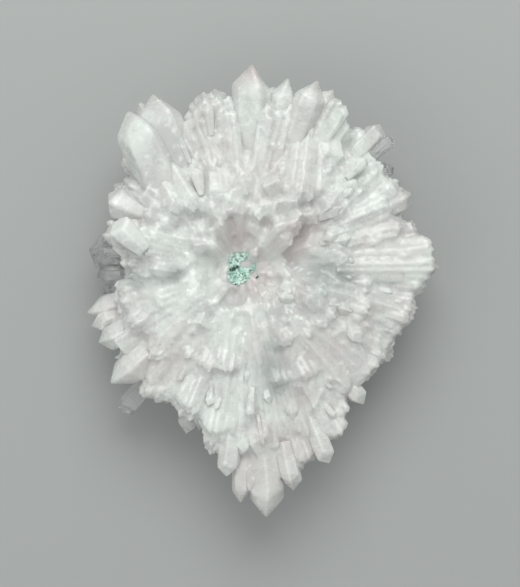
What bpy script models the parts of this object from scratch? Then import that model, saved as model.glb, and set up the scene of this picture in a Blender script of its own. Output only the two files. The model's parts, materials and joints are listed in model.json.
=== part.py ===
"""A pale amethyst flower: quartz crystals grown outwards from one point into a flat, petalled rosette.

Metres, +Z up. The rosette lies on the broken face it once grew from, with its open face upwards.
+Y runs towards the long crystal at the top of the flower and -Y towards the longest petal.
"""

import math
import random

import bmesh
import bpy
from mathutils import Matrix, Vector

MM = 0.001

# Driving dimensions
GROWTH_HEIGHT = 13 * MM  # the point that every crystal grows away from, above the resting face
REST_RADIUS = 15 * MM  # the middle of the broken face underneath
FLOOR_RADIUS = 8.5 * MM  # the sunken floor in the middle of the flower
FLOOR_HEIGHT = 21 * MM
HEART_SIDES = 14  # of the solid middle between that floor and the broken face
TOUCH_GAP = 0.3 * MM

# A crystal starts this far from the growth point, and its root is this share of its full width.
ROOT_START = 5 * MM
ROOT_SHARE = 0.42
# Height of a quartz point over half its crystal's width, blunter on the rim. Its six faces are cut unevenly:
# the shoulders slide up or down by shares of that height, and the peak leans off the axis by part of a width.
POINT_STEEPNESS = 1.15
RIM_STEEPNESS = 0.86
POINT_UNEVEN = 0.34
UNEVEN_SHARES = (0.2, 1.0)
PEAK_LEAN = 0.22
HEX = 6

# The rim as it shows from above: degrees round from +X, reach and width in mm, degrees of rise.
RIM = [
    (88.2, 50.6, 7.8, 15),
    (84, 46.4, 5.0, 12),
    (80, 47.0, 2.8, 11),
    (77, 48.5, 6.2, 13),
    (69, 50.0, 7.6, 14),
    (63.5, 49.6, 5.6, 12),
    (60, 49.0, 4.4, 14),
    (57, 46.2, 4.6, 12),
    (53, 44.9, 4.2, 9),
    (50, 46.8, 3.6, 7),
    (47, 49.6, 5.4, 8),
    (44, 48.4, 3.4, 6),
    (41, 49.5, 3.4, 10),
    (37.5, 44.0, 5.6, 12),
    (34, 45.8, 4.0, 4),
    (31, 44.6, 4.6, 7),
    (27.5, 45.2, 6.6, 12),
    (23, 45.6, 5.6, 11),
    (18, 43.4, 4.6, 9),
    (13.5, 45.2, 4.2, 10),
    (10.5, 45.8, 4.0, 8),
    (6, 48.8, 5.4, 12),
    (2.5, 49.0, 5.6, 11),
    (-0.5, 48.0, 5.6, 9),
    (-4, 46.2, 6.2, 11),
    (-9, 42.6, 4.8, 9),
    (-12.5, 44.8, 5.6, 12),
    (-16, 45.4, 6.4, 11),
    (-20, 44.6, 5.2, 10),
    (-24, 42.4, 4.6, 9),
    (-28, 43.4, 5.2, 10),
    (-31, 44.6, 3.6, 5),
    (-35, 43.4, 6.2, 11),
    (-40, 43.5, 5.2, 10),
    (-44, 41.9, 3.6, 12),
    (-48, 45.3, 7.4, 11),
    (-53, 43.6, 4.2, 9),
    (-57, 45.9, 4.6, 12),
    (-61, 49.7, 6.2, 11),
    (-66.5, 53.0, 5.6, 12),
    (-70, 51.8, 4.8, 10),
    (-73, 52.0, 4.4, 11),
    (-75.5, 53.8, 4.6, 10),
    (-78.5, 56.8, 5.6, 10),
    (-84.2, 62.7, 8.4, 9),
    (-88.5, 57.0, 4.6, 9),
    (-91.5, 58.4, 4.8, 10),
    (-96, 52.0, 5.0, 12),
    (-100, 48.0, 4.8, 10),
    (-105, 42.8, 4.4, 2),
    (-110, 45.2, 5.8, -3),
    (-113, 41.0, 5.2, 13),
    (-118, 38.8, 3.6, 12),
    (-121, 40.0, 3.6, 11),
    (-124.5, 40.8, 3.6, 12),
    (-128.5, 42.0, 4.4, 11),
    (-141, 44.6, 9.6, 12),
    (-148, 41.4, 7.4, 14),
    (-153.5, 41.2, 6.6, 11),
    (-158.5, 41.4, 5.2, 8),
    (-163.5, 41.8, 8.4, 5),
    (-172, 37.2, 5.4, 2),
    (-177, 38.0, 5.4, 3),
    (178, 38.0, 5.0, 3),
    (172.5, 40.0, 6.0, 4),
    (162, 34.6, 7.0, 19),
    (153, 38.2, 5.6, 5),
    (148, 39.4, 4.6, 6),
    (142, 37.6, 5.2, 13),
    (136, 43.4, 7.0, 10),
    (124, 40.0, 6.0, 8),
    (121.5, 49.0, 5.0, 12),
    (117, 48.8, 8.4, 15),
    (109, 42.6, 5.4, 12),
    (104.5, 44.4, 6.2, 13),
    (100, 45.8, 5.6, 8),
    (96.5, 44.6, 5.2, 13),
]
# Rim crystals that lean to one side of straight out: the same values, then the lean in degrees.
RIM_LEANING = [
    (127, 49.2, 9.4, 13, -12),
    (-132, 46.9, 4.8, 1, 9),
]

# How far the flower reaches from above, read off its rim in a ring of stations 30 degrees apart.
REACH_STATIONS = [48.5, 44.6, 46.5, 49.5, 46.5, 38.5, 39.0, 41.0, 41.5, 56.0, 47.5, 43.0]

# Petals follow one another round the flower in a spiral, as seeds do in a sunflower. Each row gives how many,
# then the first and the last petal's share of the rim's reach, height over the growth point and width in mm.
UPPER_PETALS = (66, (0.35, 13.2, 6.2), (0.94, 9.4, 8.6))
# The shorter crystals underneath. The lowest of them are broken off at the resting face.
LOWER_PETALS = (64, (0.45, -16.0, 8.8), (0.88, 1.8, 7.8))
SPIRAL_STEP = 137.5  # degrees
AZIMUTH_JITTER = 4.0  # degrees
REACH_JITTER = 0.05
HEIGHT_JITTER = 0.6 * MM
WIDTH_JITTER = 0.2

# Hollows between the petals, seen from above: degrees round, mm out and mm across. No petal ends there.
HOLLOWS = [
    (107, 8.0, 10),
    (27, 15.0, 12),
    (-3, 17.5, 11),
    (-76, 28.0, 10),
    (-150, 25.0, 6),
]

# Crystals that stand up among the petals: degrees round, mm out and width of the tip, degrees of rise
# and height of the tip in mm. The steep ones turn their points to the viewer round the sunken middle.
STANDING = [
    (180, 23.5, 4.4, 14, 28.0),
    (164, 29.0, 7.6, 34, 27.5),
    (64, 17.0, 4.6, 80, 30.5),
    (55, 21.0, 6.0, 72, 32.0),
    (46, 18.8, 5.2, 80, 31.0),
    (38, 21.5, 5.0, 74, 30.0),
    (70, 23.0, 6.4, 64, 32.5),
    (99, 15.5, 5.4, 76, 30.0),
    (109, 19.0, 6.2, 70, 31.5),
    (90, 21.5, 5.6, 62, 31.5),
    (133, 12.6, 4.6, 74, 28.0),
    (154, 13.5, 4.4, 70, 28.5),
    (58, 8.8, 4.0, 74, 26.5),
    (-27, 12.6, 4.8, 76, 28.0),
    (-18, 15.0, 3.8, 68, 27.5),
    (-50, 9.0, 3.8, 74, 26.0),
    (-129, 17.5, 5.4, 72, 29.0),
    (-104, 13.0, 4.4, 68, 27.5),
]
STANDING_LENGTH = 14 * MM

# The green crust of celadonite left on the floor: its outline seen from above, in mm from the floor's centre.
CRUST_OUTLINE = [
    (-4.2, 2.9), (-2.4, 3.6), (0.4, 3.8), (0.9, 2.5), (-0.9, 1.7), (-1.2, 0.5), (0.5, -0.1), (2.3, 1.0),
    (2.7, -0.2), (1.4, -1.7), (0.5, -3.4), (-1.4, -4.2), (-3.9, -3.9), (-4.2, -2.0), (-3.9, 0.3),
]
CRUST_THICKNESS = 0.9 * MM
CRUST_EDGE = 0.25 * MM

# Each crystal family draws its small differences from its own seed.
SEEDS = {"rim": 11, "petal": 12, "under": 13, "standing": 14}

# Colour and roughness
QUARTZ = ((0.82, 0.80, 0.82), 0.25)
CELADONITE = ((0.42, 0.66, 0.56), 0.8)


def clear_scene():
    for item in list(bpy.data.objects):
        bpy.data.objects.remove(item)


def new_collection(name, shown):
    made = bpy.data.collections.new(name)
    bpy.context.scene.collection.children.link(made)
    made.hide_render = not shown
    return made


def material(name, colour, roughness):
    made = bpy.data.materials.new(name)
    made.use_nodes = True
    surface = made.node_tree.nodes["Principled BSDF"]
    surface.inputs["Base Color"].default_value = (*colour, 1)
    surface.inputs["Roughness"].default_value = roughness
    surface.inputs["Metallic"].default_value = 0
    return made


def reach_at(azimuth):
    """The flower's reach as seen from above, in metres, blended smoothly between the stations."""
    step = 360 / len(REACH_STATIONS)
    place = (azimuth % 360) / step
    low = int(place) % len(REACH_STATIONS)
    share = place - int(place)
    share = share * share * (3 - 2 * share)
    after = REACH_STATIONS[(low + 1) % len(REACH_STATIONS)]
    return (REACH_STATIONS[low] * (1 - share) + after * share) * MM


def direction(azimuth, rise):
    a = math.radians(azimuth)
    e = math.radians(rise)
    return Vector((math.cos(a) * math.cos(e), math.sin(a) * math.cos(e), math.sin(e)))


def cut_point(bm, width, depth, point, dice):
    """Turns a hexagonal prism's top cap into a quartz point with uneven faces, each of them flat."""
    top = max(bm.faces, key=lambda face: face.calc_center_median().z)
    shoulders = sorted(top.verts, key=lambda v: math.atan2(v.co.y, v.co.x))
    root_radius = width / 2 * ROOT_SHARE
    # The sides meet far below the root, so a shoulder that slides along its own edge keeps them flat.
    meet = -depth / 2 - depth * root_radius / (width / 2 - root_radius)
    peak = Vector((0, 0, meet))
    apex = bmesh.ops.poke(bm, faces=[top])["verts"][0]
    lean = dice.uniform(0.0, PEAK_LEAN) * width
    turn = dice.uniform(0, math.tau)
    apex.co = Vector((lean * math.cos(turn), lean * math.sin(turn), depth / 2 + point))
    high_first = dice.random() < 0.5
    for i, vert in enumerate(shoulders):
        raised = (i % 2 == 0) == high_first
        slide = (POINT_UNEVEN if raised else -POINT_UNEVEN) * dice.uniform(*UNEVEN_SHARES) * point
        vert.co = peak + (vert.co - peak) * (1 + slide / (depth / 2 - meet))


def crystal(name, start, aim, length, width, dice, home, steepness=POINT_STEEPNESS):
    """One crystal along aim. length is from start to its tip, and the root begins a little past start."""
    point = width / 2 * steepness
    depth = length - point - ROOT_START
    bm = bmesh.new()
    bmesh.ops.create_cone(
        bm,
        cap_ends=True,
        cap_tris=False,
        segments=HEX,
        radius1=width / 2 * ROOT_SHARE,
        radius2=width / 2,
        depth=depth,
    )
    cut_point(bm, width, depth, point, dice)
    bm.transform(Matrix.Rotation(dice.uniform(0, math.tau / HEX), 4, "Z"))
    bm.transform(Matrix.Translation((0, 0, ROOT_START + depth / 2)))
    bm.transform(aim.to_track_quat("Z", "Y").to_matrix().to_4x4())
    bm.transform(Matrix.Translation(start))
    mesh = bpy.data.meshes.new(name)
    bm.to_mesh(mesh)
    bm.free()
    made = bpy.data.objects.new(name, mesh)
    made.display_type = "WIRE"
    home.objects.link(made)
    return made


def rim_crystals(growth, home, dice):
    straight = [(*row, 0) for row in RIM]
    for i, (azimuth, reach, width, rise, lean) in enumerate(straight + RIM_LEANING):
        length = reach * MM / math.cos(math.radians(rise))
        tip = growth + direction(azimuth, rise) * length
        aim = direction(azimuth + lean, rise)
        crystal(f"rim_{i}", tip - aim * length, aim, length, width * MM, dice, home, RIM_STEEPNESS)


def in_hollow(azimuth, reach, hollows):
    spot = direction(azimuth, 0) * reach
    return any(
        (spot - direction(round_at, 0) * out * MM).length < across * MM / 2
        for round_at, out, across in hollows
    )


def spiral_crystals(prefix, petals, hollows, growth, home, dice):
    count, first, last = petals
    for i in range(count):
        # Equal areas of the flower hold equal numbers of tips.
        share = math.sqrt(first[0] ** 2 + (last[0] ** 2 - first[0] ** 2) * (i + 0.5) / count)
        along = (share - first[0]) / (last[0] - first[0])
        height = (first[1] + (last[1] - first[1]) * along) * MM
        width = (first[2] + (last[2] - first[2]) * along) * MM
        azimuth = i * SPIRAL_STEP + dice.uniform(-AZIMUTH_JITTER, AZIMUTH_JITTER)
        reach = reach_at(azimuth) * share * (1 + dice.uniform(-REACH_JITTER, REACH_JITTER))
        height += dice.uniform(-HEIGHT_JITTER, HEIGHT_JITTER)
        width *= 1 + dice.uniform(-WIDTH_JITTER, WIDTH_JITTER)
        if in_hollow(azimuth, reach, hollows):
            continue
        tip = direction(azimuth, 0) * reach + Vector((0, 0, height))
        crystal(f"{prefix}_{i}", growth, tip.normalized(), tip.length, width, dice, home)


def standing_crystals(growth, home, dice):
    for i, (azimuth, out, width, rise, top) in enumerate(STANDING):
        aim = direction(azimuth, rise)
        tip = direction(azimuth, 0) * out * MM + Vector((growth.x, growth.y, top * MM))
        start = tip - aim * STANDING_LENGTH
        crystal(f"standing_{i}", start, aim, STANDING_LENGTH, width * MM, dice, home)


def heart(growth):
    """The solid middle that the crystals share, flat on top and underneath."""
    bpy.ops.mesh.primitive_cone_add(
        vertices=HEART_SIDES,
        radius1=REST_RADIUS,
        radius2=FLOOR_RADIUS,
        depth=FLOOR_HEIGHT,
        location=(growth.x, growth.y, FLOOR_HEIGHT / 2),
    )
    return bpy.context.object


def joined(heart_piece, crystals, below):
    """The heart and every crystal as one mesh, cut flat at the resting face."""
    union = heart_piece.modifiers.new("grown_together", "BOOLEAN")
    union.operation = "UNION"
    union.operand_type = "COLLECTION"
    union.collection = crystals
    cut = heart_piece.modifiers.new("broken_face", "BOOLEAN")
    cut.operation = "DIFFERENCE"
    cut.object = below
    graph = bpy.context.evaluated_depsgraph_get()
    mesh = bpy.data.meshes.new_from_object(heart_piece.evaluated_get(graph))
    mesh.transform(heart_piece.matrix_world)
    bpy.data.objects.remove(heart_piece)
    return mesh


def ground_cutter(home):
    """A block whose top is the resting face."""
    side = 200 * MM
    bpy.ops.mesh.primitive_cube_add(size=side, location=(0, 0, -side / 2))
    block = bpy.context.object
    block.hide_render = True
    block.display_type = "WIRE"
    for held in block.users_collection:
        held.objects.unlink(block)
    home.objects.link(block)
    return block


def keep_outer_skin(mesh):
    """Drops the small sealed gaps between crystals, so that the cluster is solid inside."""
    bm = bmesh.new()
    bm.from_mesh(mesh)
    unseen = set(bm.verts)
    skins = []
    while unseen:
        skin = {unseen.pop()}
        edge_of_search = list(skin)
        while edge_of_search:
            vert = edge_of_search.pop()
            for edge in vert.link_edges:
                other = edge.other_vert(vert)
                if other in unseen:
                    unseen.remove(other)
                    skin.add(other)
                    edge_of_search.append(other)
        skins.append(skin)
    outer = max(skins, key=len)
    bmesh.ops.delete(bm, geom=[v for v in bm.verts if v not in outer], context="VERTS")
    bm.to_mesh(mesh)
    bm.free()


def crystal_cluster(growth, home, cutters):
    dice = {family: random.Random(seed) for family, seed in SEEDS.items()}
    rim_crystals(growth, cutters, dice["rim"])
    spiral_crystals("petal", UPPER_PETALS, HOLLOWS, growth, cutters, dice["petal"])
    spiral_crystals("under", LOWER_PETALS, (), growth, cutters, dice["under"])
    standing_crystals(growth, cutters, dice["standing"])
    below = ground_cutter(bpy.context.scene.collection)
    mesh = joined(heart(growth), cutters, below)
    keep_outer_skin(mesh)
    mesh.name = "crystal_cluster"
    cluster = bpy.data.objects.new("crystal_cluster", mesh)
    home.objects.link(cluster)
    mesh.materials.clear()
    mesh.materials.append(material("milky_quartz", *QUARTZ))
    return cluster


def celadonite_crust(growth, home):
    outline = bpy.data.curves.new("celadonite_crust", "CURVE")
    outline.dimensions = "2D"
    outline.fill_mode = "BOTH"
    outline.extrude = CRUST_THICKNESS / 2 - CRUST_EDGE
    outline.bevel_depth = CRUST_EDGE
    outline.offset = -CRUST_EDGE
    outline.bevel_resolution = 1
    spline = outline.splines.new("POLY")
    spline.points.add(len(CRUST_OUTLINE) - 1)
    for point, (x, y) in zip(spline.points, CRUST_OUTLINE):
        point.co = (x * MM, y * MM, 0, 1)
    spline.use_cyclic_u = True
    crust = bpy.data.objects.new("celadonite_crust", outline)
    crust.location = (growth.x, growth.y, FLOOR_HEIGHT + TOUCH_GAP + CRUST_THICKNESS / 2)
    outline.materials.append(material("celadonite", *CELADONITE))
    home.objects.link(crust)
    return crust


def centre_on_origin(cluster, others):
    """Moves everything so that the cluster's box stands centred on the origin."""
    corners = [v.co for v in cluster.data.vertices]
    middle = [(min(c[i] for c in corners) + max(c[i] for c in corners)) / 2 for i in range(2)]
    shift = Vector((-middle[0], -middle[1], 0))
    cluster.data.transform(Matrix.Translation(shift))
    for other in others:
        other.location += shift


def main():
    clear_scene()
    flower = new_collection("amethyst_flower", shown=True)
    cutters = new_collection("crystals_to_join", shown=False)
    growth = Vector((0, 0, GROWTH_HEIGHT))
    cluster = crystal_cluster(growth, flower, cutters)
    crust = celadonite_crust(growth, flower)
    centre_on_origin(cluster, [crust])


main()
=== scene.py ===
"""Looks of the pale amethyst flower: fine crystals over the cluster, clear ends, and the crust.

Metres, +Z up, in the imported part's frame. Seen from straight above, with +Y up in the picture.
"""

import json
import math
import random

import bmesh
import bpy
import numpy as np
from mathutils import Matrix, Vector, kdtree, noise
from mathutils.bvhtree import BVHTree

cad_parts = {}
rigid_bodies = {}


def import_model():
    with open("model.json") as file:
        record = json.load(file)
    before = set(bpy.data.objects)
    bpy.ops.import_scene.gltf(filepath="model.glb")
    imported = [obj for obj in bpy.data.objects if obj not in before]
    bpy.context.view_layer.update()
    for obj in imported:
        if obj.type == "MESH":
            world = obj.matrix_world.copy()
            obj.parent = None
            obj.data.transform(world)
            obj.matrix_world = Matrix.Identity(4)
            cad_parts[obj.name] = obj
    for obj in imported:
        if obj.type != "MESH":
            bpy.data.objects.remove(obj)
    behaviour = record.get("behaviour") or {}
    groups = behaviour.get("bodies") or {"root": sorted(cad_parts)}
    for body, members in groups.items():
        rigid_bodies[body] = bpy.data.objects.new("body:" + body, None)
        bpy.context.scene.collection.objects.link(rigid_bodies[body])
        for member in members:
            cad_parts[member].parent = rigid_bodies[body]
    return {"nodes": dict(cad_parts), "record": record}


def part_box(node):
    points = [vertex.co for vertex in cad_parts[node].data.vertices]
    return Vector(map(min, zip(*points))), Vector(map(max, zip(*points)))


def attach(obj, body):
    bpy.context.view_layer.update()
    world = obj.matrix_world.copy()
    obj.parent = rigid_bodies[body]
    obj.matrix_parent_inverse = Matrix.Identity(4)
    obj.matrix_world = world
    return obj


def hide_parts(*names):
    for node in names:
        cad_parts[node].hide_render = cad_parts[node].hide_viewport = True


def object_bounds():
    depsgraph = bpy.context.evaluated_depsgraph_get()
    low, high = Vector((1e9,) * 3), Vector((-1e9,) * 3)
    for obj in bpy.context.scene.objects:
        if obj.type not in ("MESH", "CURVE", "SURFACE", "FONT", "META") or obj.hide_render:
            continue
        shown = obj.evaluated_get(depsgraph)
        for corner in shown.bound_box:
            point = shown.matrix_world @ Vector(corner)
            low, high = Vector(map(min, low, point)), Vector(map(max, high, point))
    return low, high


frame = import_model()
cad_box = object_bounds()

MM = 0.001
FLOWER_SEED = 5
CRUST_SEED = 8
WELD_WITHIN = 1e-7

# Every crystal grows away from one point, above the middle of the resting face.
GROWTH_HEIGHT = 13 * MM
GROWTH = Vector(frame["record"]["mounts"][0]["pos_m"]) + Vector((0, 0, GROWTH_HEIGHT))

# Quartz crystals: height of the point over half the width, how unevenly its six faces are cut and how much
# that varies, how far off the axis it ends over the width, and the root's width over the crystal's.
HEX = 6
STEEPNESS = 1.15
UNEVEN = 0.4
UNEVEN_RANGE = (0.2, 1.0)
TIP_LEAN = 0.16
ROOT_SHARE = 0.55

# A tip of the cluster is a corner further out than this, and further out than every corner joined to it.
LEAST_TIP_REACH = 15 * MM
LEAST_TIP_HEIGHT = 1 * MM
# A tip is on the rim if no other within this turn, in radians, reaches out this much further.
RIM_WINDOW = 0.09
RIM_DEPTH = 2.5 * MM
# Width of a crystal over the longest edge that runs down from its tip, and its limits.
WIDTH_OVER_EDGE = 1.4
CRYSTAL_WIDTHS = (3.0 * MM, 10.0 * MM)

# How far each smoothing pass moves a corner towards its neighbours.
SMOOTHING = 0.5

# How far a crystal's point is pressed back, over its width, where a bundle of smaller points takes its place.
BLUNTED = 0.45

# Such a bundle is a comb of narrow crystals: how far apart they stand, their width over that, how unevenly
# they end, its layers, and how far back its sides end.
COMB_STEP = 1.45 * MM
COMB_OVERLAP = 1.7
COMB_RAGGED = 1.6 * MM
COMB_LAYERS = (-0.24, 0.0, 0.24)
COMB_ROUNDING = 0.34
# Its layers end further back by this, it bows by this over its width, and its crystals fan out by this.
COMB_LAYER_BACK = 1.2
COMB_BOW = 0.16
COMB_FAN = 0.05
# How far each crystal may stand from its even place, the row's width over the comb's, how much the crystals'
# widths vary, their lengths over the comb's width, and how much of the cloudiness the whole comb shares.
COMB_JITTER = 0.25
COMB_ROW = 0.94
COMB_WIDTHS = (0.75, 1.25)
COMB_LENGTHS = (1.6, 2.6)
COMB_CLOUD = 0.75
# A direction whose sine from straight up is less than this has no clear sides.
LEAST_SLANT = 0.2
# Nothing that is grown ends nearer than this to the top of the solids' box.
TOP_ROOM = 0.3 * MM
# Nearer to the growth point than this, single crystals stand instead of bundles: how many at each tip, how
# far beside it and how far back over its width, their width over its own, and their length.
MIDDLE = 24 * MM
MIDDLE_COUNT = 2
MIDDLE_BESIDE = 0.4
MIDDLE_BACK = (0.3, 0.8)
MIDDLE_WIDTH = (0.4, 0.6)
MIDDLE_LENGTH = 12 * MM

# Long petals over the top, in mm from the growth point, right and up in the picture, with the tip's height
# over the floor. First the sheaves that end in a scalloped edge over the middle: tip, root, width, height.
INWARD_PETALS = [
    ((12.7, 14.5), (15.5, 36), 12, 29.3),
    ((-4.7, 10.6), (-7.5, 35), 8, 29.3),
    ((3.6, 10.8), (2, 38), 7.5, 28.3),
    ((18.5, 12), (30, 26), 8, 27.6),
    ((-12.5, 12.5), (-24, 33), 8, 28),
    ((-17, 8.5), (-30, 20), 7, 25.5),
    ((18.5, 6.5), (36, 12.5), 8, 27),
    ((13, -4.7), (26, -16.5), 7, 28),
    ((6.2, -7.0), (11, -22), 5, 27),
    ((2.0, -5.8), (3.5, -19), 5, 26),
    ((-9, -5.5), (-25, -20), 6.5, 27),
    ((-4.5, 6.2), (-6, 30), 8, 24.6),
    ((2.5, 6.6), (2, 30), 7, 24.8),
    ((9.5, 7), (12, 30), 8, 24.4),
    ((-10.5, 6.5), (-18, 20), 6, 25.2),
    ((15.8, 8.4), (29, 18.5), 8, 24.8),
    ((-9.5, 13), (-15.5, 35), 7, 26.6),
]
INWARD_ROOT_HEIGHT = 20
INWARD_STEP = 2.3 * MM
INWARD_RAGGED = 0.5 * MM
INWARD_LENGTHS = (0.75, 1.0)
# Then the long ones that run outwards: degrees round, reach of the root and of the tip, width, and height of
# the tip.
OUTWARD_PETALS = [
    (-173, 15, 32, 7, 22.5), (-163, 15, 32, 6.5, 22.6), (-152, 14, 34, 7.5, 22.8), (-140, 14, 32, 8, 23.4),
    (-130, 13, 39.5, 7, 21.4), (-120, 13, 37.5, 7, 21.6), (-110, 14, 39, 7, 21.8), (-100, 13, 45, 8, 21.8),
    (-91, 14, 49, 9, 21.8), (-80, 16, 47, 8, 21.8), (-71, 16, 47, 7, 21.8), (-61, 17, 46.5, 7.5, 21.8),
    (-51, 18, 42, 8, 21.6), (-40, 19, 41, 8, 21.2), (-29, 20, 41.5, 7.5, 21), (-15, 22, 44.6, 9.5, 21.4),
    (1.5, 24, 48.4, 10, 21.8), (14, 26, 42, 8, 21.6), (24, 27, 42.5, 7, 21.8), (34, 27, 41.5, 6, 21.6),
    (142, 22, 34, 7, 23.6), (103, 24, 42, 7, 23.4), (76, 24, 44, 8, 23.2), (96, 20, 42, 6, 25),
    (81, 20, 42, 6, 25),
]
OUTWARD_ROOT_HEIGHT = 25.2
OUTWARD_RAGGED = 3.0 * MM
OUTWARD_LENGTHS = (0.8, 1.05)
PETAL_LAYERS = (-0.14, 0.06)

# Small crystals on the sunken floor: how many, how far out, heights over the resting face and how much these
# rise outwards, widths, length, and how steeply they stand over how far out they are.
DRUSE_COUNT = 110
DRUSE_REACH = (5.2 * MM, 15 * MM)
DRUSE_HEIGHT = (21.3 * MM, 23 * MM)
DRUSE_SLOPE = 0.25
DRUSE_WIDTH = (1.2 * MM, 3.2 * MM)
DRUSE_LENGTH = 7 * MM
DRUSE_RISE = (0.6, 2.2)

# Whole crystals with slightly curved faces: length and the root's width over the width, how far the sides
# bulge, how finely they are divided, how often the edges are rounded and what that takes off the tip.
WHOLE_LENGTH = 2.5
WHOLE_ROOT_SHARE = 0.88
WHOLE_BELLY = 0.1
WHOLE_CUTS = 7
WHOLE_ROUNDING = 2
WHOLE_TIP_LOSS = 0.3 * MM
# The waves on their faces.
WAVE_SIZE = 3.2 * MM
WAVE_HEIGHT = 0.16 * MM
# Those on the rim each have a seed of their own, counted from this.
WHOLE_SEED = 40
# Those on top and the small ones have narrower roots, and those on top are blunter.
LONE_ROOT_SHARE = 0.6
LONE_STEEPNESS = 0.8

# Small crystals that stand just proud of the skin: how many, how far out, how far proud, degrees of rise in
# the middle and at the rim and how much these vary, widths, length, and how finely each is divided.
SMALL_COUNT = 64
SMALL_REACH = (25 * MM, 48 * MM)
SMALL_PROUD = (0.1 * MM, 0.7 * MM)
SMALL_RISE = (35, 12)
SMALL_TURN = 12
SMALL_WIDTH = (1.4 * MM, 3.6 * MM)
SMALL_LENGTH = 8 * MM
SMALL_CUTS = 3

# Whole crystals that lie on top: tip, root, width, height of the tip and of the root, cloudiness.
LONE_CRYSTALS = [
    ((-32.3, 11.2), (-24.4, 3.6), 6.8, 27.4, 27.6, 1.0),
    ((-23.3, -0.2), (-16.4, -1.3), 4.2, 28.4, 27.4, 0.7),
    ((-34.2, 18.6), (-24, 13.4), 8.4, 21.5, 23.5, 0.2),
    ((-12, 24.3), (-10.5, 17.5), 3.2, 28.4, 27.6, 0.9),
    ((-2.7, 28.3), (-2.7, 22), 2.6, 29.6, 29, 0.8),
    ((30, 27), (25, 22), 3.0, 27.2, 26.4, 0.9),
    ((27, 33), (23, 27), 2.6, 26.2, 25.8, 0.8),
    ((-4.5, -25), (-4.5, -16), 3.0, 26.1, 25.2, 0.8),
    ((5.8, -8.4), (3.6, -4.6), 3.8, 25.4, 21, 0.9),
    ((12.2, -7.6), (8.4, -4.4), 4.8, 27, 22, 0.9),
    ((26.8, -2.6), (20.5, -0.8), 2.2, 25.8, 24.6, 1.0),
    ((24, -0.4), (19.5, 0.6), 1.6, 25.6, 24.6, 1.0),
]

# Crystals of one group have middles further apart than this share of their two lengths.
BATCH_ROOM = 0.56

# Cloudiness is noted this often along each crystal, and evened out over this many corners. The cluster's own
# is the middle one.
CLUSTER_CLOUD = 0.5
CLOUD_STEP = 2.0 * MM
CLOUD_PASSES = 3

# Milky quartz fills the gaps between the crystals: the filling's grain, half the widest gap, its depth below
# the crystals' faces, and its smoothing. Then the skin over both: its grain, smoothing and triangles.
FILL_GRAIN = 0.45 * MM
FILL_WIDTH = 0.9 * MM
FILL_DEPTH = 0.1 * MM
FILL_PASSES = 2
SKIN_GRAIN = 0.3 * MM
SKIN_PASSES = 1
SKIN_TRIANGLES = 145000
# Faces that meet at more than this keep a hard edge between them.
SHARP_FROM = math.radians(42)

# Ribs along the growth: how many fit round a turn, how quickly they change outwards, and their height.
RIB_DENSITY = 30
RIB_CHANGE = 75
RIB_HEIGHT = 0.17 * MM
# Finer ribs lie over them: how many more and how much quicker to change, the parts of both in the height, and
# how far all are let in.
FINE_RIBS = 2.4
FINE_RIB_CHANGE = 2
RIB_PARTS = (1.6, 1.0)
RIB_LEVEL = 0.6
# They start this far from the growth point, and are whole from there on. Nearer there are lumps instead.
RIB_START = (9 * MM, 20 * MM)
LUMP_SIZE = 0.9 * MM
LUMP_HEIGHT = 0.12 * MM
# Every tip on the rim is clear this far from its point.
CLEAR_WITHIN = 5 * MM

# Where the quartz is lilac: mm right and up from the growth point in the picture, and the size of the spot.
LILAC_SPOTS = [(-2, 8, 5), (13.5, 7.5, 6), (3, -4, 5), (2, 49, 4)]
# Where the pits are greyed as painted shade, in the same way.
PIT_SHADE_SPOTS = [
    (19, -1.2, 4.5), (24, -2.2, 3.5), (6.6, -25, 4), (7.4, -19.5, 2.6), (8, -29, 3.6), (-17, -1.5, 2.2),
    (-27.5, -3, 3),
]

# Rim crystals that are one whole crystal: degrees round and mm out from the growth point, width in mm,
# steepness, lean in degrees, and cloudiness from 0 for nearly clear to 1 for white.
WHOLE = [
    (127, 49.2, 12.4, 1.2, -14, 0.45), (117, 48.8, 10.8, 1.2, -8, 0.55), (121.5, 49.0, 6.0, 1.2, -12, 0.4),
    (88.2, 50.6, 9.6, 1.5, 0, 0.35), (69, 50.0, 7.6, 1.3, 0, 0.5), (77, 48.5, 6.6, 1.5, 0, 0.6),
    (63.5, 49.6, 5.6, 1.1, 0, 0.5), (148, 39.4, 5.8, 0.9, 0, 0.4), (142, 37.6, 6.4, 1.0, 0, 0.5),
    (104.5, 44.4, 7.0, 0.9, 0, 0.4), (100, 45.8, 6.4, 0.8, 0, 0.5), (109, 42.6, 6.4, 0.9, 0, 0.6),
    (47, 49.6, 6.2, 0.8, 0, 0.1), (23, 45.6, 6.0, 0.8, 0, 0.5), (-163.5, 41.8, 7.6, 1.5, 0, 0.3),
    (-158.5, 41.4, 5.0, 1.4, 0, 0.5), (-153.5, 41.2, 6.0, 1.3, 0, 0.9), (-148, 41.4, 5.8, 1.4, 0, 0.7),
    (-141, 44.6, 8.8, 1.5, 0, 0.2), (-110, 45.2, 5.8, 1.3, 0, 0.15), (-105, 42.8, 5.0, 1.2, 0, 0.1),
    (-96, 52.0, 5.6, 1.0, 0, 0.3), (-84.2, 62.7, 9.6, 1.25, 0, 0.45), (-91.5, 58.4, 5.0, 1.3, 0, 0.2),
    (-78.5, 56.8, 5.0, 1.3, 0, 0.4), (-66.5, 53.0, 5.2, 1.1, 0, 0.5), (-48, 45.3, 5.2, 1.2, 0, 0.5),
]
# The cluster's own tip there is drawn back this much further than the new point is long, to a stump with this
# share of the width. Two tips nearer to each other than the last value are the same one.
TIP_WITHIN = 1.0 * MM
STUMP_SHARE = 0.45
SAME_PLACE = 0.01 * MM

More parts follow.
